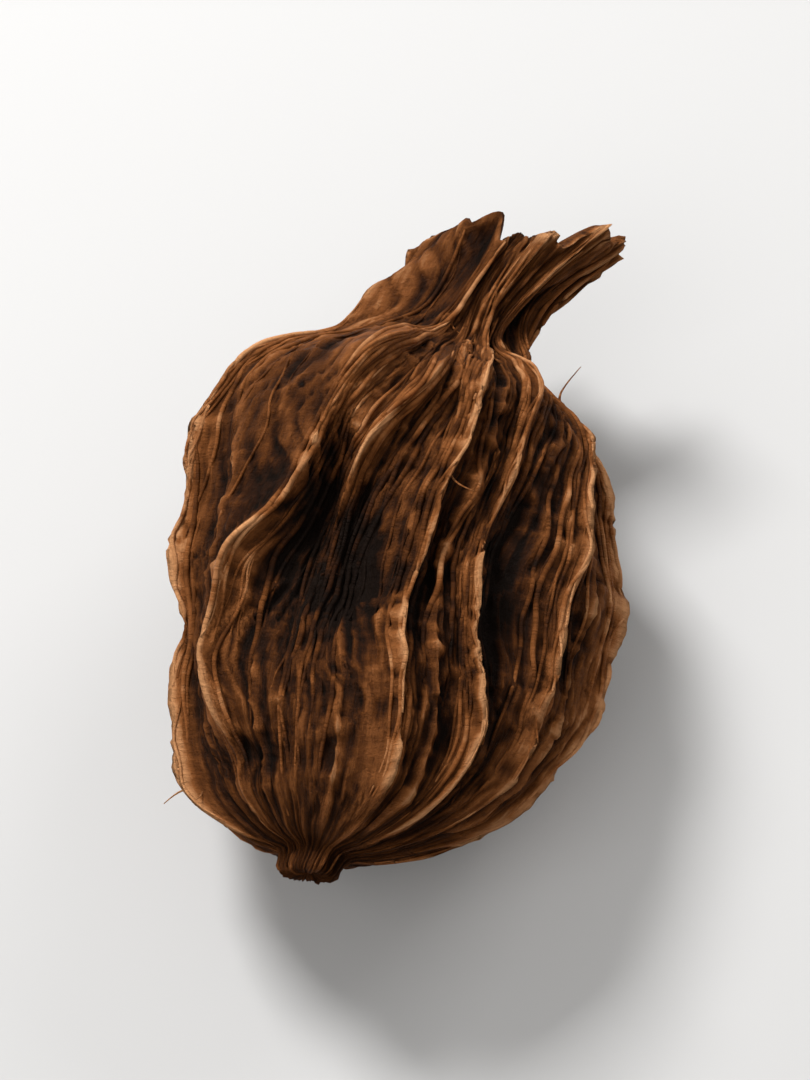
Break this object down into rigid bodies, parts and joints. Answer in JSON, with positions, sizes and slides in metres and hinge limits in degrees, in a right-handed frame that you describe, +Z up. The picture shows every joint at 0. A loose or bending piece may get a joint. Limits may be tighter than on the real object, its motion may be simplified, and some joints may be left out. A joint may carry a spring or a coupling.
{
  "type": "black cardamom pod",
  "caption": "Dried black cardamom pod lying on its side: a shrunken ovoid husk with crumpled lengthwise ribs, a torn calyx neck at one end and a stalk stub at the other.",
  "frame": {"origin": "on the surface that the pod rests on, under the middle of its box", "axes": "+Z up from the flat resting spot; +Y along the pod from the stalk stub to the calyx neck; +X to the right"},
  "size_m": [0.0156, 0.025, 0.0117],
  "materials": {
    "husk": "matte, fibrous dried husk, tan on the ribs and almost black in the hollows"
  },
  "bodies": {
    "root": {"pod": "husk"}
  },
  "joints": []
}
